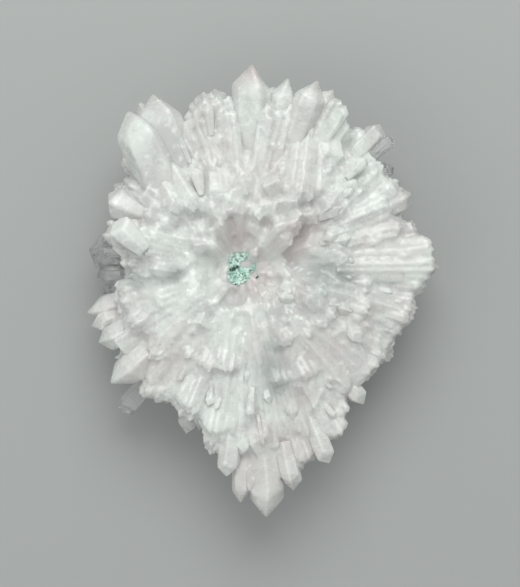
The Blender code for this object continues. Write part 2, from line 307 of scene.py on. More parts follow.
# Rim crystals whose ends are clear: degrees round and mm out, width in mm, how much of the end is clear, and
# how far it reaches beyond the cluster's own tip.
CLEAR = [
    (-132, 46.9, 5.4, 11.0, 2.0), (172.5, 40.0, 9.4, 8.5, 0), (178, 38.0, 7.6, 7.0, 0),
    (-177, 38.0, 7.0, 7.0, 0), (-172, 37.2, 6.0, 6.0, 0), (41, 49.5, 3.7, 7.0, 0), (34, 45.8, 4.4, 5.0, 0),
]
CLEAR_STEEPNESS = 0.8
# How deep a clear end sits in its milky root, its width there, and how its edges are broken.
CLEAR_SOCKET = 1.2 * MM
CLEAR_ROOT_SHARE = 0.82
CLEAR_BEVEL = 0.16 * MM
# The cluster's corners are drawn back where they are nearer to a new crystal's axis than this share of its
# width, or than the least room, as far as this beyond its tip.
CLEAR_ROOM = 0.68
LEAST_ROOM = 4.8 * MM
BEYOND_TIP = 1 * MM

# The crust: crumbs heaped on the shape of its solid, each a lump of this size and this far over the quartz.
CRUMB_COUNT = 520
CRUMB_SIZE = (0.17 * MM, 0.36 * MM)
CRUMB_RISE = (0.0, 0.4 * MM)
CRUMB_GRAIN = 0.1 * MM
# Crumbs of it elsewhere, and its dark specks: mm right and up from the growth point, and size in mm.
LOOSE_CRUMBS = [
    (3.0, -2.4, 0.32), (3.3, -2.1, 0.2), (-3.5, -53.4, 0.3), (2.9, 1.3, 0.22), (-4.9, 1.8, 0.2),
]
DARK_SPECKS = [
    (-2.7, -0.2, 0.8), (-3.4, -0.5, 0.7), (-1.9, 0.2, 0.6), (-1.9, 1.9, 0.26), (-3.4, 1.3, 0.2),
    (-0.6, 2.8, 0.2), (-2.1, -1.4, 0.2), (-0.6, -1.5, 0.24), (0.0, -1.9, 0.2), (1.5, -0.7, 0.28),
    (-2.3, -4.1, 0.3), (3.0, -2.4, 0.4), (3.3, -2.1, 0.3),
]

# How walled in a corner is, by this many rays of this reach that start just off the surface.
SHELTER_RAYS = 14
SHELTER_REACH = 9 * MM
SHELTER_LIFT = 0.05 * MM

QUARTZ_IOR = 1.54

# The lights: name, place, size and power in watts. Then their tint, and the surroundings' tint and strength.
LIGHTS = [
    ("window", (0.02, 0.38, 0.5), 0.45, 2.15),
    ("fill", (-0.6, -0.4, 0.6), 0.8, 1.2),
]
LIGHT_COLOUR = (0.98, 1.0, 0.975)
WORLD_COLOUR = (0.97, 1.0, 0.975, 1.0)
WORLD_STRENGTH = 0.56
# The floor's side.
FLOOR_SIZE = 3.0

# The picture, from straight above.
PICTURE = (520, 587)  # pixels
MM_PER_PIXEL = 0.25
# The middle of the picture, from the middle of the flower's outline.
VIEW_CENTRE = (-0.6 * MM, -0.5 * MM)
CAMERA_HEIGHT = 0.42
FOCUS_HEIGHT = 22 * MM


def direction(azimuth, rise):
    a = math.radians(azimuth)
    e = math.radians(rise)
    return Vector((math.cos(a) * math.cos(e), math.sin(a) * math.cos(e), math.sin(e)))


def new_collection(name):
    made = bpy.data.collections.new(name)
    bpy.context.scene.collection.children.link(made)
    return made


def welded(mesh):
    """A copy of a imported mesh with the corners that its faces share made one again."""
    made = mesh.copy()
    bm = bmesh.new()
    bm.from_mesh(made)
    bmesh.ops.remove_doubles(bm, verts=bm.verts, dist=WELD_WITHIN)
    bm.to_mesh(made)
    bm.free()
    return made


def crystal_mesh(name, tip, aim, length, width, dice, steepness=STEEPNESS, root_share=ROOT_SHARE):
    """A six-sided crystal that ends in an uneven point at tip."""
    point = width / 2 * steepness
    depth = length - point
    bm = bmesh.new()
    bmesh.ops.create_cone(
        bm,
        cap_ends=True,
        cap_tris=False,
        segments=HEX,
        radius1=width / 2 * root_share,
        radius2=width / 2,
        depth=depth,
    )
    top = max(bm.faces, key=lambda face: face.calc_center_median().z)
    shoulders = sorted(top.verts, key=lambda v: math.atan2(v.co.y, v.co.x))
    apex = bmesh.ops.poke(bm, faces=[top])["verts"][0]
    lean = dice.uniform(0.0, TIP_LEAN) * width
    turn = dice.uniform(0, math.tau)
    offset = Vector((lean * math.cos(turn), lean * math.sin(turn), depth / 2 + point))
    apex.co = offset
    meet = Vector((0, 0, -depth / 2 - depth * root_share / (1 - root_share)))
    high_first = dice.random() < 0.5
    for i, vert in enumerate(shoulders):
        raised = (i % 2 == 0) == high_first
        slide = (UNEVEN if raised else -UNEVEN) * dice.uniform(*UNEVEN_RANGE) * min(point, width / 2)
        vert.co = meet + (vert.co - meet) * (1 + slide / (depth / 2 - meet.z))
    bm.transform(Matrix.Translation(-offset))
    bm.transform(Matrix.Rotation(dice.uniform(0, math.tau / HEX), 4, "Z"))
    bm.transform(aim.to_track_quat("Z", "Y").to_matrix().to_4x4())
    bm.transform(Matrix.Translation(tip))
    mesh = bpy.data.meshes.new(name)
    bm.to_mesh(mesh)
    bm.free()
    return mesh


def grow(home, tip, aim, length, width, dice, cloud):
    mesh = crystal_mesh("grown", tip, aim, length, width, dice)
    grown = bpy.data.objects.new("grown", mesh)
    grown["cloud"] = cloud
    home.objects.link(grown)


def whole_crystal(
    tip, aim, length, width, dice, steepness, root_share, cuts=WHOLE_CUTS, rounding=WHOLE_ROUNDING
):
    """A crystal with slightly curved faces and rounded edges, as a fine mesh."""
    mesh = crystal_mesh(
        "whole",
        tip + aim * WHOLE_TIP_LOSS,
        aim,
        length,
        width,
        dice,
        steepness=steepness,
        root_share=root_share,
    )
    bm = bmesh.new()
    bm.from_mesh(mesh)
    root = min(bm.faces, key=lambda face: face.calc_center_median().dot(aim))
    bmesh.ops.poke(bm, faces=[root])
    bmesh.ops.subdivide_edges(bm, edges=bm.edges, cuts=cuts, use_grid_fill=True)
    for _ in range(rounding):
        bmesh.ops.smooth_vert(
            bm, verts=bm.verts, factor=SMOOTHING, use_axis_x=True, use_axis_y=True, use_axis_z=True
        )
    bm.normal_update()
    for vert in bm.verts:
        back = (tip - vert.co).dot(aim)
        out = vert.co - tip + aim * back
        fat = WHOLE_BELLY * math.sin(math.pi * min(max(back / length, 0), 1))
        wave = noise.noise(vert.co / WAVE_SIZE) * WAVE_HEIGHT
        vert.co += out * fat + vert.normal * wave
    bm.to_mesh(mesh)
    bm.free()
    return mesh


def tips_of(mesh):
    """The cluster's crystal tips, with the width of each crystal."""
    bm = bmesh.new()
    bm.from_mesh(mesh)
    found = []
    for vert in bm.verts:
        reach = (vert.co - GROWTH).length
        if reach < LEAST_TIP_REACH or vert.co.z < LEAST_TIP_HEIGHT:
            continue
        around = [edge.other_vert(vert).co for edge in vert.link_edges]
        if all((co - GROWTH).length < reach for co in around):
            longest = max((co - vert.co).length for co in around)
            width = min(max(longest * WIDTH_OVER_EDGE, CRYSTAL_WIDTHS[0]), CRYSTAL_WIDTHS[1])
            found.append((vert.co.copy(), width))
    bm.free()
    return found


def rim_tips(tips):
    """The tips that the outline of the flower shows."""
    def turn(tip):
        return math.atan2(tip.y - GROWTH.y, tip.x - GROWTH.x)

    def reach(tip):
        return math.hypot(tip.x - GROWTH.x, tip.y - GROWTH.y)

    kept = []
    for tip, _ in tips:
        beside = [
            other for other, _ in tips if abs(math.remainder(turn(other) - turn(tip), math.tau)) < RIM_WINDOW
        ]
        if reach(tip) > max(reach(other) for other in beside) - RIM_DEPTH:
            kept.append(tip)
    return kept


def nearest_tip(tips, azimuth, out):
    flat = direction(azimuth, 0) * out * MM
    return min((tip for tip, _ in tips), key=lambda tip: ((tip - GROWTH).to_2d() - flat.to_2d()).length)


def whole_ends(tips):
    """Tip, direction, width, point's length, steepness and cloudiness of each whole crystal on the rim."""
    ends = []
    for azimuth, out, width, steepness, lean, cloud in WHOLE:
        tip = nearest_tip(tips, azimuth, out)
        aim = Matrix.Rotation(math.radians(lean), 3, "Z") @ (tip - GROWTH).normalized()
        point = width * MM / 2 * steepness
        ends.append((tip, aim, width * MM, point + TIP_WITHIN, steepness, cloud))
    return ends


def grow_comb(
    home, tip, aim, width, dice, layers=COMB_LAYERS, lengths=None, step=COMB_STEP, ragged=COMB_RAGGED
):
    """Narrow crystals side by side that end together in a rounded, toothed lobe."""
    side = aim.cross(Vector((0, 0, 1)))
    side = side.normalized() if side.length > LEAST_SLANT else aim.orthogonal().normalized()
    over = side.cross(aim)
    half = width * 0.5
    count = max(2, round(width / step))
    shortest, longest = lengths or (width * COMB_LENGTHS[0], width * COMB_LENGTHS[1])
    cloud = dice.random()
    for layer in layers:
        for i in range(count):
            across = ((i + 0.5 + dice.uniform(-COMB_JITTER, COMB_JITTER)) / count * 2 - 1) * half
            share = across / half
            rounding = share * share + abs(layer) * COMB_LAYER_BACK
            back = width * COMB_ROUNDING * rounding + dice.uniform(0, ragged)
            bow = over * width * COMB_BOW * (0.5 - share * share)
            place = tip + side * across * COMB_ROW + over * layer * width + bow - aim * back
            if place.z > cad_box[1][2] - TOP_ROOM:
                continue
            own = step * COMB_OVERLAP * dice.uniform(*COMB_WIDTHS)
            lean = (aim + side * share * COMB_FAN).normalized()
            hue = cloud * COMB_CLOUD + dice.random() * (1 - COMB_CLOUD)
            grow(home, place, lean, dice.uniform(shortest, longest), own, dice, cloud=hue)


def on_flower(right, up, height):
    """A place by mm right and up from the growth point, and its height over the floor."""
    return Vector((GROWTH.x + right * MM, GROWTH.y + up * MM, height * MM))


def grow_long_petals(home, dice):
    for tip, root, width, height in INWARD_PETALS:
        end = on_flower(*tip, height)
        along = end - on_flower(*root, INWARD_ROOT_HEIGHT)
        reach = along.length
        grow_comb(
            home,
            end,
            along.normalized(),
            width * MM,
            dice,
            PETAL_LAYERS,
            (reach * INWARD_LENGTHS[0], reach * INWARD_LENGTHS[1]),
            INWARD_STEP,
            INWARD_RAGGED,
        )
    for azimuth, near, far, width, height in OUTWARD_PETALS:
        a = math.radians(azimuth)
        root = on_flower(near * math.cos(a), near * math.sin(a), OUTWARD_ROOT_HEIGHT)
        end = on_flower(far * math.cos(a), far * math.sin(a), height)
        along = end - root
        reach = along.length
        grow_comb(
            home,
            end,
            along.normalized(),
            width * MM,
            dice,
            PETAL_LAYERS,
            (reach * OUTWARD_LENGTHS[0], reach * OUTWARD_LENGTHS[1]),
            ragged=OUTWARD_RAGGED,
        )


def grow_druse(home, dice):
    """Small stubby crystals on the sunken floor, round the crust."""
    for _ in range(DRUSE_COUNT):
        out = dice.uniform(*DRUSE_REACH)
        foot = direction(dice.uniform(0, 360), 0) * out
        aim = (foot + Vector((0, 0, out * dice.uniform(*DRUSE_RISE)))).normalized()
        tip = Vector((GROWTH.x, GROWTH.y, 0)) + foot
        tip.z = dice.uniform(*DRUSE_HEIGHT) + (out - DRUSE_REACH[0]) * DRUSE_SLOPE
        grow(home, tip, aim, DRUSE_LENGTH, dice.uniform(*DRUSE_WIDTH), dice, cloud=dice.random())


def grow_petals(tips, home, dice):
    for tip, width in tips:
        aim = (tip - GROWTH).normalized()
        if (tip - GROWTH).to_2d().length > MIDDLE:
            grow_comb(home, tip, aim, width, dice)
        else:
            side = aim.orthogonal().normalized()
            for _ in range(MIDDLE_COUNT):
                out = Matrix.Rotation(dice.uniform(0, math.tau), 3, aim) @ side
                place = tip + out * width * MIDDLE_BESIDE - aim * width * dice.uniform(*MIDDLE_BACK)
                own = width * dice.uniform(*MIDDLE_WIDTH)
                grow(home, place, aim, MIDDLE_LENGTH, own, dice, cloud=dice.random())


def blunted(mesh, tips):
    """The cluster with its crystals' points pressed back, where finer points take their place."""
    back = {tuple(tip): width * BLUNTED for tip, width in tips if (tip - GROWTH).to_2d().length > MIDDLE}
    for vert in mesh.vertices:
        pressed = back.get(tuple(vert.co))
        if pressed:
            vert.co -= (vert.co - GROWTH).normalized() * pressed
    return mesh


def gathered(base, home):
    """The base and everything in the collection in one mesh, and places on it with their cloudiness."""
    bm = bmesh.new()
    bm.from_mesh(base)
    clouds = [(vert.co.copy(), CLUSTER_CLOUD) for vert in bm.verts]
    for grown in list(home.objects):
        spent = grown.data
        bm.from_mesh(spent)
        for edge in spent.edges:
            first, last = (spent.vertices[i].co for i in edge.vertices)
            count = max(2, math.ceil((last - first).length / CLOUD_STEP))
            clouds += [(first.lerp(last, i / count), grown["cloud"]) for i in range(count)]
        bpy.data.objects.remove(grown)
        bpy.data.meshes.remove(spent)
    bm.to_mesh(base)
    bm.free()
    return base, clouds


def with_modifiers(mesh, *steps):
    """The mesh after a row of modifiers, each a kind and its settings."""
    holder = bpy.data.objects.new("holder", mesh)
    bpy.context.scene.collection.objects.link(holder)
    for kind, settings in steps:
        modifier = holder.modifiers.new(kind.lower(), kind)
        for key, value in settings.items():
            setattr(modifier, key, value)
    graph = bpy.context.evaluated_depsgraph_get()
    made = bpy.data.meshes.new_from_object(holder.evaluated_get(graph))
    bpy.data.objects.remove(holder)
    return made


def overgrown(mesh):
    """The crystals under one skin, with the narrow gaps filled and the crystals just proud of the filling."""
    coarse = ("REMESH", {"mode": "VOXEL", "voxel_size": FILL_GRAIN, "use_smooth_shade": True})
    swell = ("DISPLACE", {"strength": FILL_WIDTH, "mid_level": 0.0})
    shrink = ("DISPLACE", {"strength": -FILL_WIDTH - FILL_DEPTH, "mid_level": 0.0})
    soften = ("SMOOTH", {"factor": SMOOTHING, "iterations": FILL_PASSES})
    filling = with_modifiers(mesh, coarse, swell, coarse, shrink, soften)
    bm = bmesh.new()
    bm.from_mesh(mesh)
    bm.from_mesh(filling)
    bm.to_mesh(mesh)
    bm.free()
    fine = ("REMESH", {"mode": "VOXEL", "voxel_size": SKIN_GRAIN, "use_smooth_shade": True})
    return with_modifiers(mesh, fine, ("SMOOTH", {"factor": SMOOTHING, "iterations": SKIN_PASSES}))


def coordinates(mesh):
    flat = np.empty(len(mesh.vertices) * 3, np.float32)
    mesh.vertices.foreach_get("co", flat)
    return flat.reshape(-1, 3)


def nearness(places, points, within):
    """For each place, 1 at the nearest of the points, falling smoothly to 0 at this distance."""
    tree = kdtree.KDTree(len(points))
    for i, point in enumerate(points):
        tree.insert(point, i)
    tree.balance()
    far = np.array([tree.find(Vector(place))[2] for place in places], np.float32)
    near = np.clip(1 - far / within, 0, 1)
    return near * near * (3 - 2 * near)


def ribbed(mesh):
    """Raises rounded ribs along the growth, with creases between them."""
    places = coordinates(mesh)
    normals = np.empty(len(mesh.vertices) * 3, np.float32)
    mesh.vertices.foreach_get("normal", normals)
    normals = normals.reshape(-1, 3)
    heights = np.empty(len(places), np.float32)
    start, whole = RIB_START
    for i, place in enumerate(places):
        out = Vector(place) - GROWTH
        reach = out.length
        ray = out / reach * RIB_DENSITY
        rib = abs(noise.noise(ray + Vector((0, 0, reach * RIB_CHANGE))))
        finer = abs(noise.noise(ray * FINE_RIBS + Vector((0, 0, reach * RIB_CHANGE * FINE_RIB_CHANGE))))
        strength = min(max((reach - start) / (whole - start), 0), 1)
        lump = noise.noise(Vector(place) / LUMP_SIZE) * LUMP_HEIGHT
        ribs = rib * RIB_PARTS[0] + finer * RIB_PARTS[1] - RIB_LEVEL
        heights[i] = ribs * RIB_HEIGHT * strength + lump * (1 - strength)
    places += normals * heights[:, None]
    mesh.vertices.foreach_set("co", places.ravel())
    mesh.update()


def evened(mesh, values, passes):
    """Each corner's value shared with the corners joined to it."""
    flat = np.empty(len(mesh.edges) * 2, np.int32)
    mesh.edges.foreach_get("vertices", flat)
    first, last = flat.reshape(-1, 2).T
    size = len(mesh.vertices)
    joined = np.maximum(np.bincount(flat, minlength=size), 1)
    for _ in range(passes):
        total = np.bincount(first, values[last], size) + np.bincount(last, values[first], size)
        values = (values + total / joined) / 2
    return values


def cloud_amount(mesh, clouds):
    """The cloudiness noted nearest to each corner."""
    tree = kdtree.KDTree(len(clouds))
    for i, (place, _) in enumerate(clouds):
        tree.insert(place, i)
    tree.balance()
    values = np.array([clouds[tree.find(vert.co)[1]][1] for vert in mesh.vertices], np.float64)
    return evened(mesh, values, CLOUD_PASSES)


def add_attribute(mesh, name, values):
    layer = mesh.attributes.new(name, "FLOAT", "POINT")
    layer.data.foreach_set("value", np.asarray(values, np.float32))


def spot_amount(places, spots):
    amount = np.zeros(len(places), np.float32)
    for right, up, size in spots:
        away = np.hypot(places[:, 0] - GROWTH.x - right * MM, places[:, 1] - GROWTH.y - up * MM)
        amount = np.maximum(amount, np.exp(-((away / (size * MM)) ** 2)))
    return amount


def outer_skin(mesh, lowest):
    """Keeps the largest skin, and presses what reaches below the resting face back up to it."""
    bm = bmesh.new()
    bm.from_mesh(mesh)
    unseen = set(bm.verts)
    skins = []
    while unseen:
        skin = {unseen.pop()}
        search = list(skin)
        while search:
            vert = search.pop()
            for edge in vert.link_edges:
                other = edge.other_vert(vert)
                if other in unseen:
                    unseen.remove(other)
                    skin.add(other)
                    search.append(other)
        skins.append(skin)
    outer = max(skins, key=len)
    bmesh.ops.delete(bm, geom=[v for v in bm.verts if v not in outer], context="VERTS")
    for vert in bm.verts:
        vert.co.z = max(vert.co.z, lowest)
    bmesh.ops.triangulate(bm, faces=bm.faces)
    bm.to_mesh(mesh)
    bm.free()


def add_shelter(mesh):
    """How walled in each corner is, from 0 in the open to 1 in a deep cleft, as an attribute that the
    quartz's colour darkens by as painted shade.
    """
    bm = bmesh.new()
    bm.from_mesh(mesh)
    bm.normal_update()
    tree = BVHTree.FromBMesh(bm)
    golden = math.pi * (3 - math.sqrt(5))
    fan = []
    for i in range(SHELTER_RAYS):
        z = (i + 0.5) / SHELTER_RAYS
        flat = math.sqrt(1 - z * z)
        fan.append(Vector((flat * math.cos(golden * i), flat * math.sin(golden * i), z)))
    values = np.zeros(len(bm.verts), np.float32)
    for vert in bm.verts:
        turn = vert.normal.to_track_quat("Z", "Y")
        start = vert.co + vert.normal * SHELTER_LIFT
        hit_sum = 0.0
        for ray in fan:
            distance = tree.ray_cast(start, turn @ ray, SHELTER_REACH)[3]
            if distance is not None:
                hit_sum += 1 - distance / SHELTER_REACH
        values[vert.index] = hit_sum / SHELTER_RAYS
    bm.free()
    add_attribute(mesh, "shelter", values)


def new_piece(name, mesh, material, slot, *nodes):
    piece = bpy.data.objects.new(name, mesh)
    bpy.context.scene.collection.objects.link(piece)
    mesh.materials.clear()
    mesh.materials.append(material)
    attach(piece, "root")
    if nodes:
        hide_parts(*nodes)
    return piece


def clear_ends(tips):
    """Tip, direction, width and clear length of each crystal with a clear end."""
    ends = []
    for azimuth, out, width, length, beyond in CLEAR:
        tip = nearest_tip(tips, azimuth, out)
        aim = (tip - GROWTH).normalized()
        ends.append((tip + aim * beyond * MM, aim, width * MM, length * MM))
    return ends


def drawn_back(mesh, ends, share):
    """Moves every corner near an end back along it, which leaves a stump with this share of the width."""
    for vert in mesh.vertices:
        for tip, aim, width, length, *_ in ends:
            away = vert.co - tip
            along = away.dot(aim)
            side = away - aim * along
            if -length < along < BEYOND_TIP and side.length < max(width * CLEAR_ROOM, LEAST_ROOM):
                vert.co = tip - aim * length + side * share
                break


def whole_crystals(ends, dice):
    """The large crystals on the rim and on top, each with its middle, its size and its cloudiness."""
    crystals = []
    for i, (tip, aim, width, _, steepness, cloud) in enumerate(ends):
        length = width * WHOLE_LENGTH
        own = random.Random(i + WHOLE_SEED)
        mesh = whole_crystal(tip, aim, length, width, own, steepness, WHOLE_ROOT_SHARE)
        crystals.append((mesh, tip - aim * length / 2, length, cloud))
    for tip, root, width, height, root_height, cloud in LONE_CRYSTALS:
        end = on_flower(*tip, height)
        along = end - on_flower(*root, root_height)
        aim = along.normalized()
        mesh = whole_crystal(end, aim, along.length, width * MM, dice, LONE_STEEPNESS, LONE_ROOT_SHARE)
        crystals.append((mesh, end - along / 2, along.length, cloud))
    return crystals


def small_crystals(mesh, dice):
    """Points scattered evenly over the top of the flower, standing on whatever is there."""
    bm = bmesh.new()
    bm.from_mesh(mesh)
    ground = BVHTree.FromBMesh(bm)
    bm.free()
    crystals = []
    first, last = SMALL_REACH
    for _ in range(SMALL_COUNT):
        out = math.sqrt(dice.uniform(first * first, last * last))
        turn = dice.uniform(0, 360)
        place = GROWTH + direction(turn, 0) * out
        spot = ground.ray_cast(Vector((place.x, place.y, 1)), Vector((0, 0, -1)))[0]
        share = out / last
        rise = SMALL_RISE[0] + (SMALL_RISE[1] - SMALL_RISE[0]) * share + dice.uniform(-SMALL_TURN, SMALL_TURN)
        aim = direction(turn + dice.uniform(-SMALL_TURN, SMALL_TURN), rise)
        width = dice.uniform(*SMALL_WIDTH)
        proud = dice.uniform(*SMALL_PROUD)
        cloud = dice.random()
        if spot is None or spot.z < GROWTH.z:
            continue
        tip = spot + Vector((0, 0, proud))
        if tip.z > cad_box[1][2] - TOP_ROOM:
            continue
        crystal = whole_crystal(
            tip, aim, SMALL_LENGTH, width, dice, STEEPNESS, LONE_ROOT_SHARE, cuts=SMALL_CUTS, rounding=0
        )
        crystals.append((crystal, tip - aim * SMALL_LENGTH / 2, SMALL_LENGTH, cloud))
    return crystals


def batches(crystals):
    """The crystals in as few groups as keep those of one group apart."""
    groups = []
    for crystal in crystals:
        _, middle, size, _ = crystal
        for group in groups:
            if all((middle - other[1]).length > (size + other[2]) * BATCH_ROOM for other in group):
                group.append(crystal)
                break
        else:
            groups.append([crystal])
    return groups


def with_crystals(mesh, crystals, clouds):
    """The skin with the crystals grown together with it."""
    for group in batches(crystals):
        bm = bmesh.new()
        for crystal, _, _, cloud in group:
            clouds += [(vert.co.copy(), cloud) for vert in crystal.vertices]
            bm.from_mesh(crystal)
            bpy.data.meshes.remove(crystal)
        joined = bpy.data.meshes.new("group")
        bm.to_mesh(joined)
        bm.free()
        other = bpy.data.objects.new("group", joined)
        bpy.context.scene.collection.objects.link(other)
        union = ("BOOLEAN", {"operation": "UNION", "object": other, "solver": "MANIFOLD"})
        mesh = with_modifiers(mesh, union)
        bpy.data.objects.remove(other)
        bpy.data.meshes.remove(joined)
    return mesh


class Tree:
    """A material's nodes, added and joined in one line each."""

    def __init__(self, name):
        self.material = bpy.data.materials.new(name)
        self.material.use_nodes = True
        self.nodes = self.material.node_tree.nodes
        self.links = self.material.node_tree.links
        self.surface = self.nodes["Principled BSDF"]

    def add(self, kind, inputs=None, **settings):
        node = self.nodes.new(kind)
        for key, value in settings.items():
            setattr(node, key, value)
        for key, value in (inputs or {}).items():
            self.put(node.inputs[key], value)
        return node

    def put(self, socket, value):
        if isinstance(value, bpy.types.NodeSocket):
            self.links.new(value, socket)
        else:
            socket.default_value = value

    def math(self, operation, *values, clamp=False):
        node = self.add("ShaderNodeMath", operation=operation, use_clamp=clamp)
        for socket, value in zip(node.inputs, values):
            self.put(socket, value)
        return node.outputs[0]

    def vector_math(self, operation, *values):
        node = self.add("ShaderNodeVectorMath", operation=operation)
        for socket, value in zip(node.inputs, values):
            self.put(socket, value)
        return node.outputs["Value" if operation == "LENGTH" else "Vector"]

    def spread(self, value, low, high, to_low=0.0, to_high=1.0):
        node = self.add("ShaderNodeMapRange", clamp=True, interpolation_type="SMOOTHSTEP")
        for socket, number in zip(node.inputs, (value, low, high, to_low, to_high)):
            self.put(socket, number)
        return node.outputs[0]

    def mix(self, share, first, second):
        node = self.add("ShaderNodeMix", data_type="RGBA", blend_type="MIX")
        self.put(node.inputs[0], share)
        self.put(node.inputs[6], first)
        self.put(node.inputs[7], second)
        return node.outputs[2]


def rgb(red, green, blue):
    return (red, green, blue, 1.0)


def quartz_material():
    tree = Tree("milky_quartz")
    place = tree.add("ShaderNodeTexCoord").outputs["Object"]
    out = tree.vector_math("SUBTRACT", place, tuple(GROWTH))
    reach = tree.vector_math("LENGTH", out)
    aim = tree.vector_math("NORMALIZE", out)
    fibres = tree.add(
        "ShaderNodeTexNoise",
        {"Vector": aim, "W": tree.math("MULTIPLY", reach, 60.0), "Scale": 40.0, "Detail": 3.0},
        noise_dimensions="4D",
    ).outputs["Fac"]
    clouds = tree.add(
        "ShaderNodeTexNoise", {"Vector": out, "Scale": 110.0, "Detail": 4.0, "Distortion": 0.6}
    ).outputs["Fac"]
    tint = tree.add("ShaderNodeTexNoise", {"Vector": out, "Scale": 60.0, "Detail": 2.0}).outputs["Fac"]
    shelter = tree.add("ShaderNodeAttribute", attribute_name="shelter").outputs["Fac"]
    clear = tree.add("ShaderNodeAttribute", attribute_name="clear").outputs["Fac"]
    spots = tree.add("ShaderNodeAttribute", attribute_name="lilac").outputs["Fac"]
    pit_shade = tree.add("ShaderNodeAttribute", attribute_name="pit_shade").outputs["Fac"]
    cloud = tree.add("ShaderNodeAttribute", attribute_name="cloud").outputs["Fac"]

    white = rgb(0.80, 0.835, 0.805)
    warm = rgb(0.69, 0.69, 0.68)
    veil_and_glint_white = rgb(0.92, 0.94, 0.92)
    grey = rgb(0.58, 0.60, 0.59)
    pit_shade_grey = rgb(0.42, 0.455, 0.44)
    lilac = rgb(0.66, 0.565, 0.57)
    near = tree.spread(reach, 10 * MM, 22 * MM)
    fibres = tree.math("ADD", 0.5, tree.math("MULTIPLY", tree.math("SUBTRACT", fibres, 0.5), near))
    streaks = tree.math("ADD", tree.math("MULTIPLY", fibres, 0.35), tree.math("MULTIPLY", clouds, 0.65))
    streaks = tree.math("ADD", streaks, tree.math("MULTIPLY", tree.math("SUBTRACT", cloud, 0.5), 0.18))
    body = tree.mix(tree.spread(streaks, 0.4, 0.58), warm, white)
    flecks = tree.add("ShaderNodeTexNoise", {"Vector": out, "Scale": 520.0, "Detail": 4.0}).outputs["Fac"]
    # Bright flecks: partly white veils in the quartz, partly painted glints.
    body = tree.mix(tree.spread(flecks, 0.56, 0.7, 0.0, 0.7), body, veil_and_glint_white)
    body = tree.mix(tree.spread(flecks, 0.44, 0.32, 0.0, 0.45), body, grey)
    body = tree.mix(tree.math("MULTIPLY", clear, 0.38), body, grey)
    pink = tree.math("MULTIPLY", tree.spread(tint, 0.45, 0.65), 0.35)
    pink = tree.math("ADD", pink, tree.math("MULTIPLY", spots, 0.75), clamp=True)
    body = tree.mix(tree.math("MULTIPLY", pink, 0.8), body, lilac)
    # Painted shade: the pits greyed as if in shadow.
    body = tree.mix(tree.math("MULTIPLY", pit_shade, 0.78), body, pit_shade_grey)
    # Painted shade: the crevices darkened towards lilac by how walled in they are.
    crevice_shade = tree.math("MULTIPLY", tree.spread(shelter, 0.3, 0.85), 0.3)
    tree.put(tree.surface.inputs["Base Color"], tree.mix(crevice_shade, body, lilac))
    tree.put(tree.surface.inputs["Roughness"], tree.math("SUBTRACT", 0.38, tree.math("MULTIPLY", clear, 0.2)))
    passed = tree.math("ADD", tree.math("MULTIPLY", clear, 0.22), 0.08)
    tree.put(tree.surface.inputs["Transmission Weight"], passed)
    tree.surface.inputs["IOR"].default_value = QUARTZ_IOR
    tree.surface.inputs["Coat Weight"].default_value = 0.35
    tree.surface.inputs["Coat Roughness"].default_value = 0.12
    tree.surface.inputs["Subsurface Weight"].default_value = 1.0
    tree.surface.inputs["Subsurface Radius"].default_value = (1.0, 0.97, 0.97)
    tree.surface.inputs["Subsurface Scale"].default_value = 1.25 * MM
    relief = tree.math("ADD", tree.math("MULTIPLY", fibres, 0.6), tree.math("MULTIPLY", flecks, 0.6))
    bump = tree.add("ShaderNodeBump", {"Height": relief, "Strength": 0.5, "Distance": 0.2 * MM})
    tree.put(tree.surface.inputs["Normal"], bump.outputs[0])
    return tree.material


def clear_material():
    tree = Tree("clear_quartz")
    place = tree.add("ShaderNodeTexCoord").outputs["Object"]
    out = tree.vector_math("SUBTRACT", place, tuple(GROWTH))
    tree.surface.inputs["Base Color"].default_value = rgb(0.97, 0.97, 0.98)
    tree.surface.inputs["Transmission Weight"].default_value = 0.82
    tree.surface.inputs["IOR"].default_value = QUARTZ_IOR
    veils = tree.add("ShaderNodeTexNoise", {"Vector": out, "Scale": 260.0, "Detail": 1.0}).outputs["Fac"]
    tree.put(tree.surface.inputs["Roughness"], tree.spread(veils, 0.5, 0.66, 0.05, 0.28))
    steps = tree.add("ShaderNodeTexNoise", {"Vector": out, "Scale": 150.0, "Detail": 0.0}).outputs["Fac"]
    bump = tree.add("ShaderNodeBump", {"Height": steps, "Strength": 0.12, "Distance": 0.3 * MM})
    tree.put(tree.surface.inputs["Normal"], bump.outputs[0])
    soak = tree.add("ShaderNodeVolumeAbsorption")
    soak.inputs["Color"].default_value = rgb(0.84, 0.85, 0.87)
    soak.inputs["Density"].default_value = 25.0
    tree.links.new(soak.outputs[0], tree.nodes["Material Output"].inputs["Volume"])
    return tree.material


def crust_material():
    tree = Tree("celadonite")
    place = tree.add("ShaderNodeTexCoord").outputs["Object"]
    patches = tree.add("ShaderNodeTexNoise", {"Vector": place, "Scale": 900.0, "Detail": 3.0}).outputs["Fac"]
    specks = tree.add("ShaderNodeTexNoise", {"Vector": place, "Scale": 2200.0, "Detail": 2.0}).outputs["Fac"]
    named = tree.add("ShaderNodeAttribute", attribute_name="dark").outputs["Fac"]
    mint = tree.mix(tree.spread(patches, 0.35, 0.65), rgb(0.36, 0.60, 0.51), rgb(0.72, 0.88, 0.81))
    dark = tree.math("MAXIMUM", tree.spread(specks, 0.66, 0.7), named)
    tree.put(tree.surface.inputs["Base Color"], tree.mix(dark, mint, rgb(0.012, 0.075, 0.06)))
    tree.put(tree.surface.inputs["Roughness"], tree.spread(dark, 0.0, 1.0, 0.85, 0.5))
    bump = tree.add("ShaderNodeBump", {"Height": specks, "Strength": 0.5, "Distance": 0.1 * MM})
    tree.put(tree.surface.inputs["Normal"], bump.outputs[0])
    return tree.material


